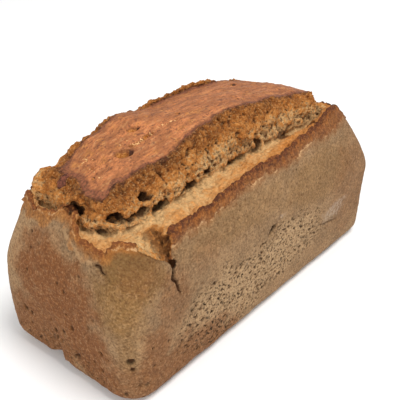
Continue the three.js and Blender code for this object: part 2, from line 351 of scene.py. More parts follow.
def cap_edge_points():
    x, y, nx, ny = meet(CAP)
    share = shares(nx, ny)
    round_cap = flat_points(x, y, 7)
    ragged = 1.5 * RIM_GRAIN.rough(round_cap, 11) + 0.5 * RIM_GRAIN.waves(round_cap, 2.6)
    back = CAP_DRAW_BACK["depth"] * smooth(-x, -CAP_DRAW_BACK["start"], -CAP_DRAW_BACK["end"])
    tongue = CAP_TONGUE["reach"] * np.exp(-((y - CAP_TONGUE["y"]) / CAP_TONGUE["width"]) ** 2)
    edge_x = x + nx * ragged - share["left"] * tongue
    edge_y = y + ny * ragged + share["near"] * back
    return np.stack([edge_x, edge_y, cap_height(edge_x, edge_y)], 1)


def torn_points(valley, edge, climb):
    _, _, nx, ny = meet(CAP)
    swollen = np.maximum(0, -nx) * np.maximum(0, ny)
    inward = 0.25 * climb + 0.75 * climb ** 2.6
    points = valley + (edge - valley) * inward
    rise = 1 - (1 - climb) ** (1.35 + TORN_SWELL * swollen)
    points[:, 2] = valley[:, 2] + (edge[:, 2] - valley[:, 2]) * rise
    crest = CREST["height"] * np.maximum(ny, 0)
    crest *= (smooth(points[:, 0], CREST["start"], CREST["full"])
              - smooth(points[:, 0], CREST["fall"], CREST["end"]))
    points[:, 2] += crest * smooth(climb, 0.5, 0.85)
    return points


def spine_points():
    x = meet(CAP)[0] * SPINE_HALF_LENGTH / CAP["right"]
    x = np.clip(x, -SPINE_HALF_LENGTH, SPINE_HALF_LENGTH)
    return np.stack([x, np.ones(STATIONS), cap_height(x, 1.0) + CROWN], 1)


def form_rows():
    """Every row of the loaf's plain form, with how far each point lies below the rim (or inside
    it, below zero), how far it climbs the torn face and how far it lies inside the cap's edge."""
    rim = rim_height()
    radius = foot_radius()
    valley = valley_points(rim)
    width = lip_width()
    edge = cap_edge_points()
    spine = spine_points()
    foot = wall_points(0, radius)
    rows = []

    def add(points, inside=None, climb=0.0, cap=-99.0):
        depth = rim - points[:, 2] if inside is None else -inside
        fields = np.broadcast_arrays(depth, climb, cap, np.zeros(STATIONS))
        rows.append(np.column_stack([points, *fields[:3]]))

    for share in BASE_ROWS:
        add(foot * share)
    for angle in np.radians(np.linspace(0, 90, ROWS["foot"])):
        add(wall_points(radius * (1 - np.cos(angle)), radius * (1 - np.sin(angle))))
    for climb in np.linspace(0, 1, ROWS["wall"])[1:]:
        add(wall_points(radius + (BELT_HEIGHT - radius) * climb))
    for climb in np.linspace(0, 1, ROWS["lean"])[1:-1]:
        add(wall_points(BELT_HEIGHT + (rim - BELT_HEIGHT) * climb))
    for turn in np.linspace(0, 1, ROWS["lip"]):
        points = wall_points(rim, width * turn)
        points[:, 2] += 0.3 * math.sin(math.pi * turn) - RIM_LIP_DROP * turn ** 1.4
        add(points, inside=0.01 + width * turn)
    lip = points
    for reach in np.linspace(0, 1, ROWS["shelf"])[1:]:
        add(lip + (valley - lip) * reach, inside=width + SHELF_REACH * reach)
    for climb in np.linspace(0, 1, ROWS["torn"])[1:-1]:
        points = torn_points(valley, edge, climb)
        add(points, inside=TORN_INSIDE, climb=climb, cap=-np.linalg.norm(points - edge, axis=1))
    for reach in np.linspace(0, 1, ROWS["cap"])[:-1] ** 1.15:
        points = edge + (spine - edge) * reach
        points[:, 2] = cap_height(points[:, 0], points[:, 1]) + CROWN * math.sin(reach * math.pi / 2)
        add(points, inside=CAP_INSIDE, climb=1.0, cap=np.linalg.norm(points - edge, axis=1))
    add(spine, inside=CAP_INSIDE, climb=1.0, cap=SPINE_INSIDE_EDGE)
    return np.array(rows)


# ---- sizes of the relief -----------------------------------------------------------------------

LUMP_SIZE = 10
LUMP_HEIGHT = {"face": 2.4, "shelf": 0.9, "less_on_far_side": 1.4}
LUMP_SWAY = {"face": 1.4, "shelf": 0.5, "less_on_far_side": 0.9}
LARGE_BUBBLE = 6.0
SMALL_BUBBLE = 2.7
CREVICE = {"climb": 0.03, "spread": 0.035, "depth": 2.6}
RIM_BAND = {"width": 6.4, "broader_by": 3.6, "from": 25, "to": 75}
SEAM_DEPTH = 1.2
WALL_WANDER = {"size": 24, "height": 0.5}
SCATTERED_PORE = 5.5
# the pores of the porous patch: size, shift in the grain, share of full depth
PATCH_PORES = ((2.8, 0, 1.0), (2.0, 70, 0.8))
CAP_SHOULDER = {"width": 3.0, "passes": 14}
# passes of evening out that give the level which a point stands proud of, and how far is full
LEVEL_PASSES = 10
PROUD_RANGE = 1.6


# ---- hollows, splits and other marks that can be named -----------------------------------------

# where each lies, how far it reaches along X, Y and Z, how deep it goes and which way
CAVES = [
    ((-100, -2, 91), (5, 5, 3.2), 7, (0.75, 0.5, -0.35)),
    ((-95, -14, 84), (5, 6, 3.4), 6, (0.8, 0.45, -0.2)),
    ((-92, -21, 90), (6, 5.5, 3.2), 10, (0.55, 0.8, -0.1)),
    ((-82, -25, 88.5), (8, 4.5, 3.0), 9, (0.3, 0.95, 0)),
    ((-76, -25, 95), (3.2, 4, 2.8), 7, (0.35, 0.9, -0.2)),
    ((-67, -27, 88), (6, 3.5, 2.8), 8, (0.1, 0.98, -0.1)),
    ((-45, -27, 90), (7, 3, 1.8), 4, (0.1, 0.98, -0.1)),
    ((-32, -27.5, 93.5), (3.4, 3, 2.2), 5, (0.1, 0.98, -0.1)),
    ((-8, -27, 90.5), (9, 3, 1.8), 4.5, (0, 1, 0)),
    ((13, -27, 92.5), (4.8, 4, 3.8), 5, (0, 0.95, -0.3)),
    ((36, -32, 92), (7, 3, 1.6), 4, (0, 0.95, -0.1)),
    ((57, -39, 95), (6, 3, 1.6), 5, (0, 0.9, -0.4)),
    ((-88, 13, 101), (3.4, 4.5, 2.6), 5, (0.6, 0.3, -0.7)),
    ((35, 33, 95), (10, 3.5, 1.8), 4.5, (0, -0.95, -0.2)),
    ((-48, 33, 92), (10, 3.5, 1.8), 3.5, (0, -0.95, -0.2)),
    ((-8, 34, 91), (12, 3, 1.5), 3.5, (0, -0.95, -0.1)),
    ((86, 6, 94), (3, 9, 1.8), 3.5, (-0.95, 0, -0.3)),
    ((-83, -41, 77), (5, 6, 8), 7, (1, 0.5, -0.2)),
]

# lumps on the rim and in the crumb: where, how far they reach and how far they stand out
LUMPS = [
    ((-77, -44, 85), (6, 5, 4.5), 1.6), ((34, -43, 92), (6, 5, 3.5), 1.5),
    ((-101, -8, 79), (4, 4, 3.5), 1.8), ((-100, -15, 79), (4, 4.5, 3), 1.8),
    ((-103, -22, 79), (4, 4, 3), 1.4), ((-107, 2, 90), (4, 7, 5), 1.2),
    ((-60, -40, 88), (5, 4, 3), 0.8), ((5, -42, 91), (5, 4, 3), 0.8),
    ((-102, 30, 90), (10, 9, 9), 3.2), ((-95, 18, 99), (7, 8, 6), 2.0),
]

# flakes of top crust that stayed behind in the torn end
FLAKES = [((-93, 12.5, 97.5), (5, 2.1, 5.0)), ((-94, 9.5, 93), (4, 1.0, 2.6))]

# burst bubbles in the cap: centre, half length, half width, depth, heading of the long way
BURSTS = [
    ((-67.3, -3), 4.8, 2.9, 6.5, -34),
    ((-51.7, 6), 3.5, 1.9, 4.5, -36),
    ((-51, -3), 2.4, 1.1, 2.6, -26),
    ((-27, -2.5), 1.6, 0.9, 2.5, -20),
    ((-86, -1), 1.0, 0.9, 2.5, 0),
    ((36, 9), 3.0, 1.6, 2.5, 20),
    ((12, -12), 1.1, 0.9, 2.0, 0),
    ((-36, 16), 1.2, 1.0, 2.0, 0),
]

# the seam where the cap's crust parted, as it runs over the cap
CAP_SEAM = [(-61, -1), (-57, -2.5), (-51, -3.5), (-41, -5), (-36, -6), (-30, -7), (-18, -8)]
THIN_SEAMS = [[(-81, 12), (-77, 6), (-73, 1), (-66, 2), (-59, 3)],
              [(-77, 17), (-81, 7), (-83, 1), (-86, -6)]]

# the crack that runs down from the corner split, as (x, z), and the small crack and the crumpled
# fold on the torn end, as (y, z)
CORNER_CRACK = [(-82, 72), (-83.5, 68), (-84.5, 65), (-82.5, 62), (-81.5, 59), (-81, 55)]
SMALL_CRACK = [(-26, 76), (-29, 75.5), (-33, 73.5), (-36, 72), (-39, 69)]
FOLD_LINE = [(-2, 84), (-6, 80), (-10, 77.5), (-15, 75.5), (-20, 75.5), (-24, 77), (-28, 80)]

# dents in the walls: centre, half length, half width, depth, slant of the long way in degrees
NEAR_DENTS = [
    ((-4, 53.5), 5.0, 1.9, 3.6, 29), ((4, 58), 3.0, 0.9, 1.0, 40), ((24, 79), 0.8, 0.8, 1.6, 0),
    ((61, 28), 15, 1.1, 0.9, -13), ((-33, 73), 1.2, 0.6, 0.7, 30), ((60, 70), 1.0, 0.7, 0.7, 0),
]
END_DENTS = [
    ((26, 29), 1.3, 2.2, 3.8, 0), ((-10, 34), 1.8, 1.3, 1.9, 20), ((-11, 16), 3.2, 1.2, 1.5, -12),
    ((-30, 29), 1.7, 1.3, 1.5, 10), ((-24, 20), 1.1, 0.9, 1.4, 0), ((-29, 18), 1.5, 1.0, 1.4, 30),
    ((6, 31), 0.9, 1.1, 1.1, 0), ((0, 21), 1.3, 0.8, 1.1, 10), ((-22, 34), 0.8, 0.9, 1.0, 0),
    ((15, 34), 0.8, 0.9, 0.9, 0), ((-35, 28), 0.9, 0.8, 1.1, 0), ((30, 52), 1.1, 0.8, 0.8, 0),
]
CORNER_DENTS = [((-111, -46, 30), 2.4, 2.1), ((-110, -46, 24.5), 1.5, 1.7),
                ((-107, -48, 13), 2.0, 1.0), ((-111, -44, 34), 1.3, 1.0), ((-108, -48, 8), 1.6, 0.8)]
FOOT_NICKS = [((-66, -50, 2), 4.0, 2.0), ((-29, -50, 2), 3.4, 1.6), ((38, -50, 2), 3.0, 1.4),
              ((-114, -1, 2), 4.2, 2.2), ((70, -50, 3), 2.6, 1.0), ((12, 50, 2), 3.4, 1.6),
              ((-52, 50, 2), 3.0, 1.4), ((114, 10, 2), 3.2, 1.5)]


def within(points, centre, reach):
    """How far inside an ellipsoid each point lies: 1 at its centre, 0 at its skin and beyond."""
    apart = (points - np.array(centre, float)) / np.array(reach, float)
    return np.clip(1 - np.einsum("ij,ij->i", apart, apart), 0, 1)


def turned(points, centre, degrees):
    """Flat places seen from a centre, with the first axis along a heading."""
    angle = math.radians(degrees)
    x, y = (points - np.array(centre, float)).T
    return x * math.cos(angle) + y * math.sin(angle), y * math.cos(angle) - x * math.sin(angle)


def along_line(places, line):
    """How far each flat place is from a line of points, and how far along the line it is."""
    best = np.full(len(places), 1e9)
    where = np.zeros(len(places))
    for step, (start, end) in enumerate(zip(line[:-1], line[1:])):
        start, end = np.array(start, float), np.array(end, float)
        share = np.clip((places - start) @ (end - start) / ((end - start) @ (end - start)), 0, 1)
        gap = np.linalg.norm(places - start - share[:, None] * (end - start), axis=1)
        closer = gap < best
        best[closer] = gap[closer]
        where[closer] = (step + share[closer]) / (len(line) - 1)
    return best, where


def cracks(points):
    """How deep the cracks in the walls are at each point."""
    deep = np.zeros(len(points))
    wander = 0.8 * FINE_GRAIN.sway(points, 3)[:, :2]
    for line, axes, there, most, width in (
            (CORNER_CRACK, [0, 2], points[:, 1] < -38, 3.2, 1.0),
            (SMALL_CRACK, [1, 2], points[:, 0] < -100, 1.7, 0.7)):
        gap, where = along_line(points[there][:, axes] + wander[there], line)
        width = width * (1 - 0.5 * where) + 0.5 * FINE_GRAIN.waves(points[there] + 5, 3)
        deep[there] += most * (1 - 0.6 * where) * smooth(width - gap, -0.5, 0.5)
    return deep


def coarse_shape(points, normals, fields):
    """The large relief: lumpy crumb, caves, the corner split and the cap's burst bubbles."""
    depth, climb, cap = fields.T
    crumb = smooth(-depth, 1.0, 4.5) * smooth(-cap, 0.2, 3.5)
    face = crumb * smooth(climb, 0.0, 0.12)
    shelf = crumb - face
    far_side = smooth(points[:, 1], 5, 15)

    moved = points.copy()
    lumps = CRUMB_GRAIN.rough(points, LUMP_SIZE, octaves=3, fade=0.6)
    lump_height, lump_sway = (
        (size["face"] - size["less_on_far_side"] * far_side) * face + size["shelf"] * shelf
        for size in (LUMP_HEIGHT, LUMP_SWAY))
    moved += normals * (lumps * lump_height)[:, None]
    moved += CRUMB_GRAIN.sway(points, 8) * lump_sway[:, None]
    ragged_x = moved[:, 0] + 0.9 * RIM_GRAIN.waves(points, 4)
    moved[:, 2] = np.minimum(moved[:, 2], notch_floor(ragged_x, moved[:, 1]))
    for centre, reach, deep, way in CAVES:
        way = np.array(way, float)
        inside = within(points + 0.8 * CRUMB_GRAIN.sway(points, 3.5), centre, reach)
        inside *= smooth(-cap, 0.0, 1.5)
        moved += (way / np.linalg.norm(way)) * (deep * inside ** 0.4)[:, None]
    for centre, reach, height in LUMPS:
        moved += normals * (height * within(points, centre, reach))[:, None]

    lift = 1 - np.clip((points[:, 1] - LIFTED_FOOT["start"]) /
                       (LIFTED_FOOT["end"] - LIFTED_FOOT["start"]), 0, 1)
    lift *= LIFTED_FOOT["lift"] * smooth(points[:, 1], LIFTED_FOOT["start"] - 1, LIFTED_FOOT["start"])
    lift *= smooth(-points[:, 0], 96, 108)
    moved[:, 2] += lift * np.clip(1 - points[:, 2] / LIFTED_FOOT["height"], 0, 1)

    sag = SAGGED_CORNER
    height = points[:, 2]
    corner = smooth(-points[:, 0], 80, 104) * smooth(points[:, 1], 6, 30)
    swell = sag["swell"] * np.exp(-((height - sag["at"]) / sag["spread"]) ** 2)
    draw_in = sag["draw_in"] * smooth(height, sag["from"], sag["to"]) * smooth(96 - height, 0, 10)
    moved += normals * (1, 1, 0) * (corner * (swell - draw_in))[:, None]

    on_cap = smooth(cap, -1, 1.5)
    for centre, long_half, short_half, deep, heading in BURSTS:
        u, v = turned(points[:, :2], centre, heading)
        inside = np.clip(1 - (u / long_half) ** 2 - (v / short_half) ** 2, 0, 1)
        scoop = 0.3 + 0.7 * smooth(u / long_half, -1.0, 0.5)
        moved[:, 2] -= deep * scoop * inside ** 0.35 * on_cap
    return moved


# ---- mesh helpers ----------------------------------------------------------------------------

def deselect_all():
    bpy.ops.object.select_all(action="DESELECT")


def make_active(thing):
    deselect_all()
    thing.select_set(True)
    bpy.context.view_layer.objects.active = thing


def add_modifier(thing, kind, **settings):
    """Adds a modifier, sets it and applies it."""
    make_active(thing)
    modifier = thing.modifiers.new(kind.title(), kind)
    for key, value in settings.items():
        setattr(modifier, key, value)
    bpy.ops.object.modifier_apply(modifier=modifier.name)


def drop_scraps(thing):
    """Deletes the loose specks that a remesh leaves, and keeps what the lowest point is joined to."""
    make_active(thing)
    bpy.ops.object.mode_set(mode="EDIT")
    bpy.ops.mesh.select_mode(type="VERT")
    bpy.ops.mesh.select_all(action="DESELECT")
    bpy.ops.object.mode_set(mode="OBJECT")
    lowest = int(np.argmin(read_points(thing.data)[:, 2]))
    thing.data.vertices[lowest].select = True
    bpy.ops.object.mode_set(mode="EDIT")
    bpy.ops.mesh.select_linked()
    bpy.ops.mesh.select_all(action="INVERT")
    bpy.ops.mesh.delete(type="VERT")
    bpy.ops.object.mode_set(mode="OBJECT")


def read_points(mesh):
    flat = np.empty(len(mesh.vertices) * 3, np.float32)
    mesh.vertices.foreach_get("co", flat)
    return flat.reshape(-1, 3).astype(float) / MM


def write_points(mesh, points):
    mesh.vertices.foreach_set("co", (points * MM).astype(np.float32).ravel())
    mesh.update()


def read_normals(mesh):
    flat = np.empty(len(mesh.vertices) * 3, np.float32)
    mesh.vertex_normals.foreach_get("vector", flat)
    return flat.reshape(-1, 3).astype(float)


def read_edges(mesh):
    flat = np.empty(len(mesh.edges) * 2, np.int32)
    mesh.edges.foreach_get("vertices", flat)
    return flat.reshape(-1, 2)


def write_attribute(mesh, name, values):
    layer = mesh.attributes.get(name) or mesh.attributes.new(name, "FLOAT", "POINT")
    layer.data.foreach_set("value", values.astype(np.float32))


def spread(values, edges, times):
    """Values evened out over the surface, each with its neighbours."""
    count = len(values)
    neighbours = np.maximum(np.bincount(edges.ravel(), minlength=count), 1)
    first, second = edges.T
    columns = []
    for column in values.reshape(count, -1).T:
        for _ in range(times):
            total = (np.bincount(first, column[second], count)
                     + np.bincount(second, column[first], count))
            column = 0.5 * column + 0.5 * total / neighbours
        columns.append(column)
    return np.stack(columns, 1).reshape(values.shape)


def grid_normals(rows):
    around = np.roll(rows, -1, axis=1) - np.roll(rows, 1, axis=1)
    up = np.roll(rows, -1, axis=0) - np.roll(rows, 1, axis=0)
    up[0], up[-1] = rows[1] - rows[0], rows[-1] - rows[-2]
    normals = np.cross(around, up)
    length = np.linalg.norm(normals, axis=2, keepdims=True)
    return np.where(length > 1e-9, normals / np.maximum(length, 1e-9), (0.0, 0.0, 1.0))


# ---- the fine relief and the masks that the finish reads ---------------------------------------

def nearest_fields(source, fields, points):
    """The form's fields at new points, from the nearest of the old ones."""
    tree = KDTree(len(source))
    for index, place in enumerate(source.tolist()):
        tree.insert(place, index)
    tree.balance()
    found = [tree.find(place)[1] for place in points.tolist()]
    return fields[np.array(found)]


def zones(points, fields):
    """How much each point belongs to the rim, the crumb, the cap and the marks on them."""
    x, y, z = points.T
    depth, climb, cap = fields.T
    # the rim's browned band is widest on the long sides, and only a thin lip on the corner flap
    left_end = smooth(-x, 97, 102)
    flap = smooth(-x, 84, 86) * smooth(-y, 12, 18)
    width = RIM_BAND["width"] + 1.8 * RIM_GRAIN.waves(points, 13) + 1.2 * RIM_GRAIN.waves(points, 4)
    width += RIM_BAND["broader_by"] * smooth(x, RIM_BAND["from"], RIM_BAND["to"])
    band = width * (1 - 0.6 * np.maximum(flap, left_end))
    rim = smooth(band - depth, -0.5, 0.8) * (1 - smooth(-depth, 0.6, 2.2))
    gap, _ = along_line(points[:, 1:] + 1.2 * RIM_GRAIN.sway(points, 4)[:, :2], FOLD_LINE)
    fold = smooth(0.9 + 1.4 * RIM_GRAIN.waves(points, 3) - gap, -0.5, 0.6)
    fold *= smooth(-x, 98, 103) * smooth(depth, 0, 1.5)
    glow_width = 5 + 2.5 * smooth(y, -14, -4) + 4 * RIM_GRAIN.waves(points, 9)
    end_glow = left_end * smooth(glow_width - depth, -2.0, 2.0) * smooth(depth, -1, 0.5)
    end_glow = np.maximum(end_glow, 0.8 * fold * smooth(RIM_GRAIN.waves(points, 5), -0.2, 0.4))
    crumb = np.clip(smooth(-depth, 0.3, 2.0) * smooth(-cap, -1.2, 1.0), 0, 1)
    split = smooth(1.6 - np.abs(z - notch_floor(x, y)), 0, 0.8) * smooth(y, -47.6, -46.2)
    split = np.maximum(split, smooth(x, -84, -82) * smooth(-x, 76.5, 78) * smooth(z, 69, 71)
                       * smooth(86 - z, 0, 2) * smooth(y, -47, -45) * (y < -33))
    flake = np.zeros(len(points))
    for centre, reach in FLAKES:
        inside = within(points + 0.9 * FINE_GRAIN.sway(points, 3), centre, reach)
        flake = np.maximum(flake, smooth(inside, 0.1, 0.35))
    face = crumb * smooth(climb, 0.0, 0.1)
    return {"rim": rim * (1 - split), "end_glow": end_glow * (1 - split),
            "flap": np.maximum(flap, left_end), "fold": fold,
            "crumb": np.maximum(crumb, split) * (1 - flake), "face": face, "flake": flake,
            "shelf": crumb * (1 - smooth(climb, 0.0, 0.1)), "split": split,
            "cap": smooth(cap, -1.2, 1.0), "band_edge": depth - band}


def wall_pores(points, porous, ruddy):
    """The small open pores of the lower crust, and a few larger ones where it browned."""
    scattered, luck = BUBBLE_GRAIN.bubbles(points * (1, 1, 0.8) + 30, SCATTERED_PORE)
    deep = smooth(0.04 + 0.2 * luck - scattered, 0, 0.08) * (luck > 0.35) * smooth(ruddy, 0.3, 0.8)
    there = porous > 0.05
    here = (points[there] + 0.7 * FINE_GRAIN.sway(points[there], 3)) * (0.8, 0.8, 1.3)
    for size, shift, most in PATCH_PORES:
        distance, luck = BUBBLE_GRAIN.bubbles(here + shift, size)
        pores = most * smooth(0.2 + 0.24 * luck - distance, 0, 0.18)
        deep[there] = np.maximum(deep[there], pores * smooth(porous[there], 0.05, 0.5))
    return deep


def fine_shape(points, fields, marks):
    """The small relief of each zone, as a height along the surface's own normal."""
    depth, climb, _ = fields.T
    zone = zones(points, fields)
    height = np.zeros(len(points))

    # torn crumb: bubbles of two sizes, with thin ragged walls between them
    torn = zone["crumb"] > 0.02
    here = points[torn]
    bent = here + 1.2 * CRUMB_GRAIN.sway(here, 5) + 0.6 * FINE_GRAIN.sway(here, 2.2)
    bent[:, 2] *= 0.85
    large, large_luck = BUBBLE_GRAIN.bubbles(bent, LARGE_BUBBLE)
    small, small_luck = BUBBLE_GRAIN.bubbles(bent + 50, SMALL_BUBBLE)
    foam = (4.2 * (np.minimum(large, 0.75) - 0.55) * large_luck
            + 3.0 * (np.minimum(small, 0.75) - 0.5) * (0.4 + 0.8 * small_luck)
            + 0.8 * FINE_GRAIN.rough(here, 2.2, octaves=2))
    strength = ((1 - 0.3 * smooth(here[:, 1], 5, 15)) * zone["face"][torn]
                + 0.5 * zone["shelf"][torn] + 0.8 * zone["split"][torn])
    height[torn] += foam * np.clip(strength, 0, 1)
    # and a broken crevice where the torn face meets the shelf
    crevice = np.exp(-((climb - CREVICE["climb"]) / CREVICE["spread"]) ** 2) * smooth(-depth, 10, 14)
    height -= CREVICE["depth"] * crevice * smooth(CRUMB_GRAIN.rough(points + 11, 9), -0.5, 0.3)

    # rim: a rough browned band that stands proud of the wall and ends in a flaky edge
    rim = zone["rim"]
    height += rim * (0.3 + 0.6 * RIM_GRAIN.rough(points, 4.2) + 0.5 * FINE_GRAIN.rough(points, 2, 2))
    height += zone["end_glow"] * (0.2 + 0.7 * RIM_GRAIN.rough(points, 4.2)
                                  + 0.4 * FINE_GRAIN.waves(points, 1.8))
    height += zone["fold"] * (0.3 + 1.1 * RIM_GRAIN.rough(points, 3.0))
    height += zone["flake"] * 1.0

    # cap: long low wrinkles, a few blisters, and a thicker edge
    on_cap = zone["cap"]
    long_way = points * (0.28, 1, 1)
    wrinkles = CRUST_GRAIN.rough(long_way, 6.5) * 0.5 + CRUST_GRAIN.waves(long_way, 2.3) * 0.16
    wrinkles += 0.14 * CRUST_GRAIN.rough(points + 20, 2.4, octaves=2)
    blisters = smooth(CRUST_GRAIN.waves(points + 90, 7), 0.4, 0.9) * 0.6
    height += on_cap * (wrinkles + blisters)
    gap, where = along_line(points[:, :2] + 0.9 * FINE_GRAIN.sway(points, 3)[:, :2], CAP_SEAM)
    seam = 1.0 + 1.5 * FINE_GRAIN.waves(points + 9, 3) - gap - 1.2 * smooth(where, 0.5, 1)
    for line in THIN_SEAMS:
        gap, _ = along_line(points[:, :2] + 0.7 * FINE_GRAIN.sway(points, 3)[:, :2], line)
        seam = np.maximum(seam, 0.25 + 0.9 * FINE_GRAIN.waves(points + 9, 3) - gap)
    seam = np.where(on_cap > 0.5, seam, -9)
    height -= SEAM_DEPTH * smooth(seam, -0.3, 0.4)

    # walls: the tin's smooth crust, with a little wander, pores and dents
    wall = smooth(depth, 0, 3) * (1 - rim)
    height += wall * (WALL_WANDER["height"] * CRUST_GRAIN.waves(points, WALL_WANDER["size"])
                      + 0.2 * CRUST_GRAIN.rough(points, 5))
    pits = wall_pores(points, marks["porous"], marks["ruddy"]) * wall
    dents = wall_dents(points) * wall
    height -= dents + pits
    # the pits that the material reads also take the deeper dents, for painted shade in them
    pits = np.maximum(pits, smooth(dents, 0.5, 1.8))
    return height, {**zone, "seam": seam, "pits": pits}


def wall_dents(points):
    x, y, _ = points.T
    deep = np.zeros(len(points))
    sides = ((NEAR_DENTS, points[:, [0, 2]], y < -40), (END_DENTS, points[:, [1, 2]], x < -104))
    for dents, flat, there in sides:
        ragged = flat[there] + 0.45 * FINE_GRAIN.sway(points[there], 2.5)[:, :2]
        for centre, long_half, short_half, depth, slant in dents:
            u, v = turned(ragged, centre, slant)
            inside = np.clip(1 - (u / long_half) ** 2 - (v / short_half) ** 2, 0, 1)
            deep[there] += depth * inside ** 0.5
    for centre, radius, depth in CORNER_DENTS + FOOT_NICKS:
        deep += depth * within(points, centre, (radius,) * 3) ** 0.6
    return deep + cracks(points)


def blob(points, centre, reach, edge=0.0):
    """A soft patch with an uneven edge: 1 at its centre, fading to 0 at its reach."""
    apart = (points - np.array(centre, float)) / np.array(reach, float)
    distance = np.sqrt(np.einsum("ij,ij->i", apart, apart)) + edge
    return 1 - smooth(distance, 0.45, 1.1)


def stains(points):
    """Where the walls are ruddy, pale, olive, porous or floury."""
    edge = 0.22 * PATCH_GRAIN.rough(points, 10)
    fine_edge = edge + 0.3 * PATCH_GRAIN.rough(points + 60, 4)

    def patches(*places, uneven=edge):
        return np.maximum.reduce([strength * blob(points, centre, reach, uneven)
                                  for centre, reach, strength in places])

    return {
        "ruddy": patches(((-116, 6, 58), (16, 32, 30), 1.0), ((-116, -10, 44), (16, 26, 32), 0.95),
                         ((-116, -20, 26), (16, 22, 30), 0.9), ((-114, -30, 10), (16, 20, 22), 0.85),
                         ((-116, 12, 18), (16, 40, 34), 0.8), ((116, -6, 38), (14, 60, 44), 0.4),
                         ((-85, -50, 52), (16, 10, 26), 0.5), ((-98, -51, 22), (14, 10, 30), 0.7),
                         ((-100, -44, 74), (16, 14, 14), 0.45), ((-60, -50, 66), (16, 10, 12), 0.3),
                         ((-75, -50, 8), (55, 12, 26), 0.7), ((-108, -44, 10), (14, 14, 20), 0.6),
                         ((92, -50, 50), (38, 12, 50), 0.42), ((20, 52, 56), (60, 10, 26), 0.4),
                         ((86, -50, 26), (20, 12, 20), 0.35)),
        "pale": patches(((-112, 36, 66), (16, 12, 26), 1.0), ((-114, 30, 80), (12, 16, 8), 0.8),
                        ((112, 34, 66), (16, 16, 24), 0.6), ((-107, -49, 40), (4, 5, 16), 0.4)),
        "olive": patches(((-110, -40, 62), (10, 17, 26), 1.0), ((-100, -47, 74), (16, 16, 18), 1.0),
                         ((-106, -42, 76), (16, 18, 16), 1.2),
                         ((-110, -44, 38), (6, 8, 20), 0.6), ((-30, -48, 74), (60, 12, 14), 0.5),
                         ((50, -48, 66), (50, 12, 22), 0.6), ((20, 50, 78), (70, 12, 16), 0.5)),
        "porous": patches(((-40, -50, 28), (50, 12, 26), 1.0), ((10, -50, 34), (50, 12, 22), 1.0),
                          ((10, 51, 26), (80, 12, 22), 0.8), ((-116, 0, 10), (12, 50, 16), 0.3)),
        "flour": patches(((66, -50, 34), (15, 9, 7), 0.6), ((74, -49, 38), (9, 9, 4), 0.6),
                         ((6, -51, 57.5), (5, 9, 1.6), 0.4), ((8, -43, 91), (3.0, 4, 2.4), 0.9),
                         uneven=fine_edge),
    }


def write_masks(mesh, points, normals, edges, fields, zone, marks):
    """Stores what the crust's material reads, one value for each point of the surface."""
    depth, climb, cap = fields.T
    x, y, _ = points.T
    level = spread(points, edges, LEVEL_PASSES)
    proud = np.einsum("ij,ij->i", points - level, normals)

    # the crumb browned most where it stood highest, near the cap and along the rim
    reach = np.clip((-depth - 4) / 14, 0, 1)
    on_shelf = 0.54 - 0.34 * reach ** 2 + 0.16 * smooth(x, -50, 0) + 0.08 * smooth(x, 40, 62)
    on_face = 0.16 + 0.7 * smooth(climb, 0.05, 0.95) - 0.12 * smooth(x, 0, 60)
    heat_and_shade = on_shelf + (on_face - on_shelf) * smooth(climb, 0.0, 0.06)
    heat_and_shade += 0.18 * PATCH_GRAIN.rough(points, 12)
    heat_and_shade -= 0.2 * smooth(y, 20, 26) * smooth(climb, 0.3, 0.6)
    # in the corner split this value is painted shade instead, darker towards the split's right wall
    heat_and_shade = np.where(zone["split"] > 0.5, 0.28 + 0.56 * smooth(x, -90, -82), heat_and_shade)

    # on the cap it is baked darker towards both ends, and darker on the far slope as painted shade
    bake_and_far_shade = 0.6 * smooth(x, 10, 70) + 0.25 * smooth(-x, 60, 88) + 0.5 * smooth(y, 2, 20)
    heat_and_shade = np.where(cap > 0, bake_and_far_shade + 0.15 * PATCH_GRAIN.rough(points, 12), heat_and_shade)
    # painted shade: how far each point lies in a cave of the crumb, or in the corner split towards
    # its right wall
    caves = np.zeros(len(points))
    for centre, extent, deep, way in CAVES:
        bottom = np.array(centre) + np.array(way) * deep * 0.8
        caves = np.maximum(caves, within(points, bottom, np.array(extent) + 0.35 * deep))
    caves *= (zone["crumb"] > 0.5) * smooth(1 - proud, -1.0, 0.6)
    caves = np.maximum(caves, 0.46 * zone["split"] * smooth(x, -97, -83))

    holes = np.zeros(len(points))
    burnt_end = np.zeros(len(points))
    for centre, long_half, short_half, _, heading in BURSTS:
        u, v = turned(points[:, :2], centre, heading)
        inside = 1.3 - np.hypot(u / long_half, v / short_half)
        # painted shade on each bubble's steep far wall
        far_wall = smooth(u / long_half - 0.4 * v / short_half, 0.1, 0.7)
        burnt_end = np.where(inside > 0, far_wall, burnt_end)
        holes = np.maximum(holes, inside)
    holes = np.clip(holes, 0, 1) * (cap > 0)

    straight = ("crumb", "shelf", "flap", "seam", "flake", "end_glow", "fold", "pits")
    masks = {
        **{name: zone[name] for name in straight}, **marks,
        "below_rim": depth, "below_band": zone["band_edge"], "in_cap": cap, "toast": heat_and_shade,
        "edge_burn": cap - 3.0 * smooth(-x, 74, 88) - 1.5 * smooth(x, 0, 40),
        "hole": holes, "burnt_end": burnt_end, "cave": caves,
        "proud": np.clip(0.5 + proud / PROUD_RANGE, 0, 1),
    }
    for name, values in masks.items():
        write_attribute(mesh, name, values)


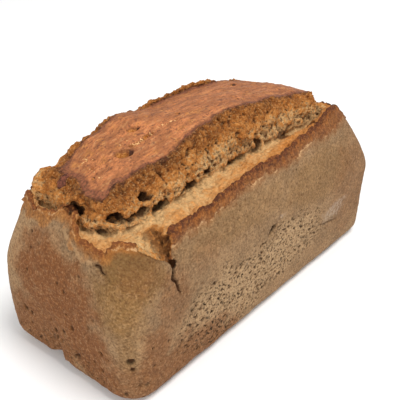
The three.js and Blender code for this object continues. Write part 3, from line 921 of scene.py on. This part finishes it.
def shape_loaf(choice):
    """Shapes the whole loaf from a grid that is rolled round it and closed at the base and cap."""
    form = form_rows()
    row_count = len(form)
    deselect_all()
    bpy.ops.mesh.primitive_grid_add(x_subdivisions=STATIONS, y_subdivisions=row_count + 1, size=1)
    loaf = bpy.context.object
    loaf.name = "spelt_loaf"
    mesh = loaf.data

    sheet = read_points(mesh) * MM + 0.5
    station = np.round(sheet[:, 0] * STATIONS).astype(int) % STATIONS
    row = np.round(sheet[:, 1] * (row_count + 1)).astype(int) - 1
    grid = form[:, :, :3]
    flat_grid = grid.reshape(-1, 3)
    fields = form[:, :, 3:].reshape(-1, 3)
    coarse = coarse_shape(flat_grid, grid_normals(grid).reshape(-1, 3), fields).reshape(grid.shape)
    coarse[:, :, 2] = np.maximum(coarse[:, :, 2], 0)
    points = coarse[np.clip(row, 0, row_count - 1), station]
    points[row < 0] = (0, 0, 0)
    points[row >= row_count] = coarse[-1].mean(0)
    write_points(mesh, points)

    make_active(loaf)
    bpy.ops.object.mode_set(mode="EDIT")
    bpy.ops.mesh.select_all(action="SELECT")
    bpy.ops.mesh.remove_doubles(threshold=0.00002)
    bpy.ops.mesh.normals_make_consistent(inside=False)
    bpy.ops.object.mode_set(mode="OBJECT")
    add_modifier(loaf, "REMESH", mode="VOXEL", voxel_size=choice.fineness)
    drop_scraps(loaf)

    points = read_points(mesh)
    edges = read_edges(mesh)
    fields = nearest_fields(coarse.reshape(-1, 3), fields, points)
    fields = spread(fields, edges, 2)
    # the cap's edge is a rounded shoulder
    rounding = np.exp(-(fields[:, 2] / CAP_SHOULDER["width"]) ** 2)[:, None]
    points += rounding * (spread(points, edges, CAP_SHOULDER["passes"]) - points)
    write_points(mesh, points)
    normals = read_normals(mesh)
    marks = stains(points)
    height, zone = fine_shape(points, fields, marks)
    points += normals * height[:, None]
    points[:, 2] = np.maximum(points[:, 2], 0)
    write_points(mesh, points)
    normals = read_normals(mesh)
    write_masks(mesh, points, normals, edges, fields, zone, marks)

    triangles = 2 * len(mesh.polygons)
    if triangles > choice.triangles:
        add_modifier(loaf, "DECIMATE", ratio=choice.triangles / triangles)
    make_active(loaf)
    bpy.ops.object.shade_smooth()
    return loaf


# ---- finishes ------------------------------------------------------------------------------------

class Value:
    """A number that varies over the surface; sums and products of it add Math nodes."""

    def __init__(self, finish, socket):
        self.finish = finish
        self.socket = socket

    def math(self, operation, *others):
        inputs = dict(enumerate((self, *others)))
        return self.finish.node("Math", {"operation": operation}, inputs)

    def __add__(self, other):
        return self.math("ADD", other)

    def __sub__(self, other):
        return self.math("SUBTRACT", other)

    def __mul__(self, other):
        return self.math("MULTIPLY", other)

    def __truediv__(self, other):
        return self.math("DIVIDE", other)

    def __rsub__(self, other):
        return self.finish.node("Math", {"operation": "SUBTRACT"}, {0: other, 1: self})

    __radd__ = __add__
    __rmul__ = __mul__

    def between(self, low, high):
        """0 at low and beyond, 1 at high and beyond, with a soft turn between them."""
        return self.finish.node("MapRange", {"interpolation_type": "SMOOTHSTEP"},
                                {"Value": self, "From Min": low, "From Max": high})


class Finish:
    """A material's nodes: one method adds any node, the rest name what bread needs."""

    def __init__(self, name):
        self.material = bpy.data.materials.new(name)
        self.material.use_nodes = True
        self.tree = self.material.node_tree
        self.tree.nodes.clear()
        self.place = self.node("TexCoord", output="Object")

    def node(self, kind, settings=None, inputs=None, output=0):
        made = self.tree.nodes.new("ShaderNode" + kind)
        for key, value in (settings or {}).items():
            if key == "stops":
                self.set_stops(made.color_ramp, value)
            else:
                setattr(made, key, value)
        for key, value in (inputs or {}).items():
            if isinstance(value, Value):
                self.tree.links.new(value.socket, made.inputs[key])
            else:
                made.inputs[key].default_value = value
        return Value(self, made.outputs[output]) if len(made.outputs) else None

    @staticmethod
    def set_stops(ramp, stops):
        while len(ramp.elements) < len(stops):
            ramp.elements.new(0.5)
        for element, (position, colour) in zip(ramp.elements, stops):
            element.position = position
            element.color = colour

    def mask(self, name):
        """One of the values that write_masks stores on the mesh."""
        return self.node("Attribute", {"attribute_name": name}, output="Fac")

    def stretched(self, scale):
        return self.node("Mapping", inputs={"Vector": self.place, "Scale": scale})

    def noise(self, size, detail=2.0, roughness=0.5, place=None, distortion=0.0):
        """Soft noise with hills about size millimetres across, from 0 to 1."""
        return self.node("TexNoise", inputs={
            "Vector": place or self.place, "Scale": 1 / (size * MM), "Detail": detail,
            "Roughness": roughness, "Distortion": distortion})

    def cells(self, size, place, output="Distance"):
        return self.node("TexVoronoi", inputs={"Vector": place, "Scale": 1 / (size * MM)},
                         output=output)

    def mix(self, share, first, second):
        return self.node("Mix", {"data_type": "RGBA"}, {0: share, 6: first, 7: second}, output=2)

    def layered(self, colour, *layers):
        """Lays each tint over the colour in turn, by its share."""
        for share, tint in layers:
            colour = self.mix(share, colour, tint)
        return colour

    def ramp(self, value, stops):
        return self.node("ValToRGB", {"stops": stops}, {"Fac": value})

    def surface(self, inputs):
        """Ends the material with its one surface."""
        skin = self.node("BsdfPrincipled", inputs=inputs, output="BSDF")
        self.node("OutputMaterial", inputs={"Surface": skin})
        return self.material


def tone(colour):
    """A colour property as the four numbers that a colour socket takes."""
    return (*colour, 1.0)


def shaded(colour, amount):
    """The same colour, lighter or darker."""
    return (*(min(1.0, channel * amount) for channel in colour), 1.0)


DARK = (0.012, 0.006, 0.003, 1)
BREAD_SHINE = 0.25
FLOOR_SHINE = 0.1


class Bread(Finish):
    """Baked bread: what its crust and crumb share, and the colour of each."""

    def __init__(self, choice):
        super().__init__("baked_bread")
        self.choice = choice
        mask, noise = self.mask, self.noise
        self.proud, self.in_cap = mask("proud"), mask("in_cap")
        self.below_rim, self.below_band = mask("below_rim"), mask("below_band")

        # noises, from the finest to the broadest, and a place that wanders a little
        sway = self.node("TexNoise", inputs={"Vector": self.place, "Scale": 350.0}, output="Color")
        wander = self.node("VectorMath", {"operation": "SCALE"}, {0: sway, "Scale": 0.8 * MM})
        self.bent = self.node("VectorMath", {"operation": "ADD"}, {0: self.place, 1: wander})
        self.grit = noise(1.1, 2, 0.6)
        self.fibres = noise(1.8, 4, 0.75, place=self.bent, distortion=0.4)
        self.fine = noise(2.4, 3, 0.65)
        self.medium = noise(5.5, 3, 0.6)
        self.broad = noise(18, 3, 0.55)
        self.dark_fleck = noise(1.7, 1, 0.5).between(0.60, 0.68)

        self.pore = self.pores()
        self.band = (self.below_band + 5 * (self.fine - 0.5)
                     + 4 * (self.grit - 0.5)).between(1.4, -2.0)
        self.on_cap = (self.in_cap + 2.4 * (self.fine - 0.5)).between(-0.25, 0.25)
        self.burnt_edge = self.mix(self.grit.between(0.4, 0.6), shaded(choice.cap_edge, 0.45),
                                   shaded(choice.cap_edge, 1.25))

    def pores(self):
        """How far each point lies in a pore of the walls: two drawn sizes, and the mesh's own pits
        and dents. It gives both the bump and the painted shade in them.
        """
        porous = self.mask("porous")
        large = (0.02 + 0.38 * self.cells(2.6, self.bent, "Color")
                 - self.cells(2.6, self.bent)).between(0.0, 0.14)
        small = (0.18 + 0.26 * self.cells(1.8, self.bent, "Color")
                 - self.cells(1.8, self.bent)).between(0.0, 0.2)
        drawn = large * (0.1 + 0.7 * porous) + small * (0.12 + 0.75 * porous)
        return drawn * self.in_cap.between(-1, -3) + self.mask("pits")

    def wall(self):
        """Crust that the tin moulded: olive, pale, porous or ruddy by patches, and floury, with
        painted shade in its pores, dents and hollows.
        """
        choice, mask = self.choice, self.mask
        grit, fine, medium = self.grit, self.fine, self.medium
        wall = self.layered(
            self.mix(self.broad.between(0.4, 0.62), shaded(choice.wall, 0.9),
                     shaded(choice.wall, 1.12)),
            (mask("olive") * 0.9, tone(choice.olive)),
            (mask("pale"), tone(choice.pale)),
            (mask("porous") * 0.9, tone(choice.porous)),
            ((mask("ruddy") + 0.5 * (medium - 0.5)).between(0.0, 1.0), tone(choice.ruddy)))
        wall = self.mix(fine.between(0.40, 0.6), self.mix(0.2, wall, DARK), wall)
        browned = (self.below_rim + 8 * (medium - 0.5)).between(22, 4) * mask("flap")
        flour = mask("flour") * (0.2 + fine.between(0.40, 0.62)) * (0.6 + medium)
        return self.layered(
            wall,
            (medium.between(0.5, 0.66) * 0.15, shaded(choice.pale, 1.2)),
            (grit.between(0.54, 0.68) * 0.27, shaded(choice.pale, 1.5)),
            (browned * mask("olive") * 0.6, shaded(choice.olive, 0.62)),
            (grit.between(0.47, 0.36) * 0.5, shaded(choice.ruddy, 0.45)),
            (self.dark_fleck * 0.4, shaded(choice.ruddy, 0.5)),
            # painted shade: dark in the pores and dents, and in the wall's hollows
            (self.pore * 0.9, shaded(choice.wall, 0.18)),
            ((1 - self.proud).between(0.6, 0.9), shaded(choice.ruddy, 0.35)),
            (flour * 0.6, tone(choice.flour)))

    def long_rim(self):
        """The rim along the sides: burnt below its crest, orange further down."""
        choice, grit, fine, medium = self.choice, self.grit, self.fine, self.medium
        burnt = 1 - (self.below_rim + 7 * (medium - 0.5) + 3 * (fine - 0.5)).between(0.2, 3.0)
        rim = self.mix(self.broad.between(0.42, 0.6) * 0.5, tone(choice.rim_glow),
                       shaded(choice.crumb_toasted, 0.7))
        rim = self.mix(burnt, rim, tone(choice.rim))
        rim = self.mix(fine.between(0.42, 0.58), self.mix(0.4, rim, DARK), rim)
        return self.layered(
            rim,
            (grit.between(0.48, 0.38) * 0.5, shaded(choice.rim, 0.6)),
            (medium.between(0.54, 0.66) * 0.35, shaded(choice.crumb_toasted, 0.95)),
            (grit.between(0.52, 0.64) * 0.36, shaded(choice.crumb, 0.7)),
            # painted shade in the rim's hollows
            ((1 - self.proud).between(0.55, 0.85) * 0.8, shaded(choice.rim, 0.4)))

    def torn_rim(self):
        """The rim of the torn end and of the flap: less baked, and orange."""
        choice, grit = self.choice, self.grit
        lower = (self.below_rim + 5 * (self.fine - 0.5)).between(0.2, 2.6) * 0.6
        return self.layered(
            self.mix(lower + self.medium.between(0.44, 0.6) * 0.5, shaded(choice.rim_glow, 0.9),
                     shaded(choice.crumb, 0.6)),
            (grit.between(0.56, 0.42) * 0.4, shaded(choice.rim, 0.9)),
            (grit.between(0.55, 0.66) * 0.4, shaded(choice.crumb, 0.9)),
            # painted shade in the rim's hollows
            ((1 - self.proud).between(0.52, 0.8) * 0.7, shaded(choice.rim, 0.5)))

    def rimmed(self, colour):
        """The walls with the rim over them, and a pale flaky line along its lower edge."""
        choice, mask = self.choice, self.mask
        grit, fine, medium = self.grit, self.fine, self.medium
        torn_rim = self.torn_rim()
        fold = (mask("fold") + 1.2 * (fine - 0.5)).between(0.3, 0.7)
        glow = (mask("end_glow") + 0.9 * (fine - 0.5) + 0.6 * (medium - 0.5)).between(0.0, 1.1)
        halo = (self.below_band + 6 * (fine - 0.5) + 3 * (medium - 0.5)).between(4.5, -1.0)
        crest = (self.below_rim + 4 * (fine - 0.5) + 2 * (grit - 0.5)).between(5.0, 1.0)
        flaky = self.below_band + 3 * (grit - 0.5)
        flaky = flaky.between(-0.9, -0.2) * flaky.between(0.9, 0.2)
        return self.layered(
            colour,
            # the crumpled fold is painted paler, a painted highlight along its raised crest
            (fold * 0.5, shaded(choice.pale, 1.1)),
            (glow * 0.75, torn_rim),
            (halo * 0.4, shaded(choice.crumb_toasted, 0.7)),
            (self.band * (0.72 + 0.28 * crest), self.mix(mask("flap") * 0.85, self.long_rim(),
                                                         torn_rim)),
            (flaky * (self.broad + 0.6 * (fine - 0.5)).between(0.42, 0.6) * 0.6,
             shaded(choice.pale, 1.7)))

    def crumb(self):
        """Torn crumb: pale at the bottom of the tear, toasted towards the cap, with painted shade in
        its pits, gaps and caves, and painted light on its shelf and raised points.
        """
        choice, shelf, toast = self.choice, self.mask("shelf"), self.mask("toast")
        grit, fine, fibres = self.grit, self.fine, self.fibres
        warmth = (toast + 1.3 * (fibres - 0.5) + 0.7 * (self.medium - 0.5)
                  + 0.5 * (self.proud - 0.5) - 0.1 * shelf)
        gaps = (0.12 + 0.26 * self.cells(3.1, self.bent, "Color")
                - self.cells(3.1, self.bent)).between(0.0, 0.16)
        gap_shade = gaps * 0.7 + fibres.between(0.5, 0.36) * 0.45
        # painted light: the shelf, which faces up, takes lighter copies of the crumb colours
        lit_shelf = self.mix((toast + 0.8 * (fine - 0.5)).between(0.3, 0.9),
                             shaded(choice.crumb_pale, 1.2), shaded(choice.crumb, 1.45))
        return self.layered(
            self.ramp(warmth, [
                (0.0, shaded(choice.crumb_pale, 0.6)), (0.2, shaded(choice.crumb_pale, 1.0)),
                (0.45, tone(choice.crumb)), (0.72, tone(choice.crumb_toasted)),
                (1.0, shaded(choice.crumb_toasted, 0.4))]),
            # painted shade in the crumb's gaps, between its fibres and in its hollows
            (gap_shade * (1 - 0.8 * shelf), tone(choice.crumb_pit_shade)),
            ((1 - self.proud).between(0.6, 0.88) * (0.85 - 0.4 * shelf), tone(choice.crumb_pit_shade)),
            (shelf * 0.52, lit_shelf),
            # painted shade in fine specks of pit
            (grit.between(0.48, 0.38) * 0.35 * (1 - 0.5 * shelf), shaded(choice.crumb_pit_shade, 1.6)),
            (grit.between(0.53, 0.68) * 0.34, shaded(choice.crumb_pale, 1.1)),
            # painted shade in the crumb's caves and the corner split
            ((self.mask("cave") + 0.3 * (fine - 0.5)).between(0.1, 0.6) * 0.85,
             shaded(choice.crumb_pit_shade, 0.6)),
            # painted highlight on the crumb's raised points
            (self.proud.between(0.56, 0.8) * 0.3, shaded(choice.crumb, 1.3)))

    def cap(self):
        """Top crust: streaky along the loaf, baked darker in places, with painted shade on its far
        slope, and burnt along its edge.
        """
        choice, grit, medium, broad = self.choice, self.grit, self.medium, self.broad
        streaks = self.noise(4.5, 4, 0.65, place=self.stretched((0.25, 1, 1)))
        hairs = self.noise(1.6, 2, 0.6, place=self.stretched((0.2, 1, 1)))
        burn = (self.mask("edge_burn") + 7 * (medium - 0.5) + 10 * (broad - 0.5)).between(2.4, 0.0)
        return self.layered(
            self.mix(streaks.between(0.42, 0.58), shaded(choice.cap, 0.72), shaded(choice.cap, 1.12)),
            (broad.between(0.44, 0.62) * 0.55, shaded(choice.cap, 0.68)),
            # the toast value darkens the cap: baked towards its ends, painted shade on its far slope
            (self.mask("toast") * 0.6, shaded(choice.cap, 0.62)),
            (medium.between(0.46, 0.36) * 0.35, shaded(choice.crumb, 0.95)),
            (hairs.between(0.50, 0.38) * 0.5, shaded(choice.cap, 0.42)),
            (grit.between(0.50, 0.38) * 0.4, shaded(choice.cap, 0.38)),
            (hairs.between(0.56, 0.70) * 0.17, shaded(choice.crumb_pale, 1.0)),
            (self.dark_fleck * 0.6, shaded(choice.cap_edge, 0.7)),
            (burn * 0.7, self.burnt_edge))

    def burst(self):
        """The inside of a burst bubble in the cap, with painted shade on its steep far wall."""
        choice, hole, grit = self.choice, self.mask("hole"), self.grit
        return self.layered(
            self.mix(grit.between(0.42, 0.58), shaded(choice.crumb_toasted, 0.9),
                     shaded(choice.crumb, 0.8)),
            ((hole + 0.4 * (grit - 0.5)).between(0.62, 0.36) * 0.6, shaded(choice.cap_edge, 0.8)),
            # painted shade on the bubble's steep far wall
            ((self.mask("burnt_end") + 0.6 * (self.fine - 0.5)).between(0.1, 0.6) * 0.9,
             shaded(choice.cap_edge, 0.35)))

    def colour(self):
        """Walls and rim, with the crumb, the cap and what opens in the cap over them."""
        choice, mask, fine = self.choice, self.mask, self.fine
        scorch = (self.in_cap + 5 * (self.medium - 0.5)).between(-2.8, -0.6)
        scorch = scorch * (1 - self.on_cap) * fine.between(0.62, 0.42)
        in_seam = self.mix(fine.between(0.46, 0.54), shaded(choice.crumb_toasted, 0.5),
                           shaded(choice.crumb_pale, 1.15))
        return self.layered(
            self.rimmed(self.wall()),
            ((mask("crumb") + 0.8 * (fine - 0.5)).between(0.4, 0.6), self.crumb()),
            (scorch * 0.75, shaded(choice.cap_edge, 0.5)),
            (self.on_cap, self.cap()),
            (mask("flake").between(0.35, 0.6), self.burnt_edge),
            ((mask("seam") + 4 * (self.grit - 0.5)).between(0.0, 0.5) * 0.9, in_seam),
            ((mask("hole") + 0.5 * (fine - 0.5)).between(0.2, 0.34), self.burst()))

    def grain(self):
        """The grain that is too fine for the mesh, as a bump."""
        torn = self.mask("crumb")
        on_wall = 0.6 * self.fine + 0.6 * self.grit + 0.4 * self.medium - 0.8 * self.pore
        on_crumb = 2.2 * self.fibres + 1.2 * self.cells(2.1, self.bent) + 1.2 * self.grit
        height = on_wall * (1 - torn) + on_crumb * torn
        return self.node("Bump", inputs={"Height": height, "Distance": MM, "Strength": 1.0},
                         output="Normal")


def bread_finish(choice):
    bread = Bread(choice)
    return bread.surface({
        "Base Color": bread.colour(), "Normal": bread.grain(), "Specular IOR Level": BREAD_SHINE,
        "Roughness": 0.92 - 0.25 * bread.on_cap - 0.1 * bread.band})


def floor_finish(choice):
    finish = Finish("pale_floor")
    cloud = finish.noise(400, 2).between(0.3, 0.7)
    colour = finish.mix(cloud, tone(choice.floor), shaded(choice.floor, 0.985))
    return finish.surface({"Base Color": colour, "Roughness": 0.95,
                           "Specular IOR Level": FLOOR_SHINE})


# ---- what a user may change ------------------------------------------------------------------------

def colour_property(name, description, default):
    return FloatVectorProperty(name=name, description=description, default=default, size=3,
                               min=0.0, max=1.0, subtype="COLOR")


class LoafChoice(bpy.types.PropertyGroup):
    """Sizes and colours of the loaf."""

    fineness: FloatProperty(name="Fineness", description="Size of the smallest relief in the mesh",
                            default=0.0008, min=0.0005, max=0.004, unit="LENGTH")
    triangles: IntProperty(name="Triangles", description="Most triangles in the finished mesh",
                           default=196000, min=20000, max=199000)
    wall: colour_property("Wall crust", "Pale brown crust that the tin moulded", (0.31, 0.187, 0.093))
    olive: colour_property("Olive crust", "Least baked crust at the corner", (0.26, 0.135, 0.043))
    pale: colour_property("Pale crust", "Crust that lifted off the tin", (0.42, 0.255, 0.125))
    porous: colour_property("Porous crust", "Lower crust, full of small pores", (0.49, 0.315, 0.165))
    ruddy: colour_property("Ruddy crust", "Redder crust on the end", (0.22, 0.08, 0.024))
    rim: colour_property("Rim", "Browned band under the rim", (0.13, 0.036, 0.011))
    rim_glow: colour_property("Rim glow", "Orange lights in the rim", (0.235, 0.072, 0.018))
    crumb_pale: colour_property("Pale crumb", "Crumb at the bottom of the tear", (0.8, 0.5, 0.22))
    crumb: colour_property("Crumb", "Torn crumb", (0.66, 0.266, 0.06))
    crumb_toasted: colour_property("Toasted crumb", "Torn crumb near the cap", (0.42, 0.132, 0.019))
    # painted shade in the crumb's pits, gaps and caves
    crumb_pit_shade: colour_property("Deep crumb", "Crumb inside small pits", (0.11, 0.034, 0.008))
    cap: colour_property("Cap", "Top crust", (0.51, 0.18, 0.063))
    flour: colour_property("Flour", "Flour left on the crust", (0.52, 0.43, 0.34))
    cap_edge: colour_property("Cap edge", "Burnt edge of the top crust", (0.16, 0.05, 0.027))


class StageChoice(bpy.types.PropertyGroup):
    """The floor, the light and the camera."""

    floor: colour_property("Floor", "Pale floor", (0.95, 0.95, 0.95))
    key_light: FloatProperty(name="Key light", description="Power of the main soft light, in watts",
                             default=46.0, min=0.0)
    fill_light: FloatProperty(name="Fill light", description="Power of the light from the left",
                              default=22.0, min=0.0)
    sky: FloatProperty(name="Sky", description="Strength of the even light from all round",
                       default=0.6, min=0.0)
    lens: FloatProperty(name="Lens", description="Focal length of the camera in millimetres",
                        default=58.5, min=10.0)


# ---- the stage -----------------------------------------------------------------------------------

FLOOR_SIZE = 12
LIGHT_AIM = (0, 0, 0.06)
# each light's place, width and colour
KEY = ((0.1, -0.9, 2.5), 1.3, (1, 0.99, 0.975))
FILL = ((-2.3, -0.8, 1.3), 1.6, (1, 1, 1))
CAMERA_PLACE = (-0.2645, -0.2161, 0.2437)
CAMERA_HEADING = -50.13
CAMERA_DOWN = 29.22
SENSOR_WIDTH = 36
NEAREST_SEEN = 0.01


def add_soft_light(name, power, place, size, colour):
    deselect_all()
    bpy.ops.object.light_add(type="AREA", location=place)
    light = bpy.context.object
    light.name = name
    light.data.shape = "DISK"
    light.data.size = size
    light.data.energy = power
    light.data.color = colour
    way = np.array(LIGHT_AIM) - np.array(place)
    flat = math.hypot(way[0], way[1])
    light.rotation_euler = (math.atan2(flat, -way[2]), 0, math.atan2(-way[0], way[1]))


class LOAF_OT_shape(bpy.types.Operator):
    """Shapes the loaf in place of the plain solid and gives it its bread finish"""

    bl_idname = "loaf.shape"
    bl_label = "Shape the Loaf"

    def execute(self, context):
        choice = context.scene.loaf_choice
        loaf = shape_loaf(choice)
        if not loaf.data.polygons:
            raise RuntimeError("the loaf came out empty")
        loaf.data.materials.clear()
        loaf.data.materials.append(bread_finish(choice))
        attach(loaf, "root")
        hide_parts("loaf")
        return {"FINISHED"}


class LOAF_OT_stage(bpy.types.Operator):
    """Sets out the pale floor, the soft light and the camera"""

    bl_idname = "loaf.stage"
    bl_label = "Set the Stage"

    def execute(self, context):
        choice = context.scene.stage_choice
        deselect_all()
        bpy.ops.mesh.primitive_plane_add(size=FLOOR_SIZE, location=(0, 0, 0))
        floor = context.object
        floor.name = "floor"
        floor.data.materials.append(floor_finish(choice))

        add_soft_light("key", choice.key_light, *KEY)
        add_soft_light("fill", choice.fill_light, *FILL)

        world = bpy.data.worlds.new("sky")
        world.use_nodes = True
        sky = world.node_tree.nodes["Background"]
        sky.inputs["Color"].default_value = (1, 1, 1, 1)
        sky.inputs["Strength"].default_value = choice.sky
        context.scene.world = world
        context.scene.view_settings.view_transform = "Standard"

        bpy.ops.object.camera_add(location=CAMERA_PLACE, rotation=(
            math.radians(90 - CAMERA_DOWN), 0, math.radians(CAMERA_HEADING)))
        camera = context.object
        camera.data.lens = choice.lens
        camera.data.sensor_width = SENSOR_WIDTH
        camera.data.clip_start = NEAREST_SEEN
        context.scene.camera = camera
        return {"FINISHED"}


class LOAF_PT_panel(bpy.types.Panel):
    """Lists the steps that make the loaf"""

    bl_idname = "LOAF_PT_panel"
    bl_label = "Tin Loaf"
    bl_space_type = "VIEW_3D"
    bl_region_type = "UI"
    bl_category = "Loaf"

    def draw(self, context):
        layout = self.layout
        for choice, step in (("loaf_choice", LOAF_OT_shape), ("stage_choice", LOAF_OT_stage)):
            box = layout.box()
            settings = getattr(context.scene, choice)
            for name in settings.__annotations__:
                box.prop(settings, name)
            box.operator(step.bl_idname)


CLASSES = (LoafChoice, StageChoice, LOAF_OT_shape, LOAF_OT_stage, LOAF_PT_panel)


def register():
    for cls in CLASSES:
        bpy.utils.register_class(cls)
    bpy.types.Scene.loaf_choice = PointerProperty(type=LoafChoice)
    bpy.types.Scene.stage_choice = PointerProperty(type=StageChoice)


def unregister():
    del bpy.types.Scene.stage_choice
    del bpy.types.Scene.loaf_choice
    for cls in reversed(CLASSES):
        bpy.utils.unregister_class(cls)


def main():
    register()
    bpy.ops.loaf.shape()
    bpy.ops.loaf.stage()


if __name__ == "__main__":
    main()
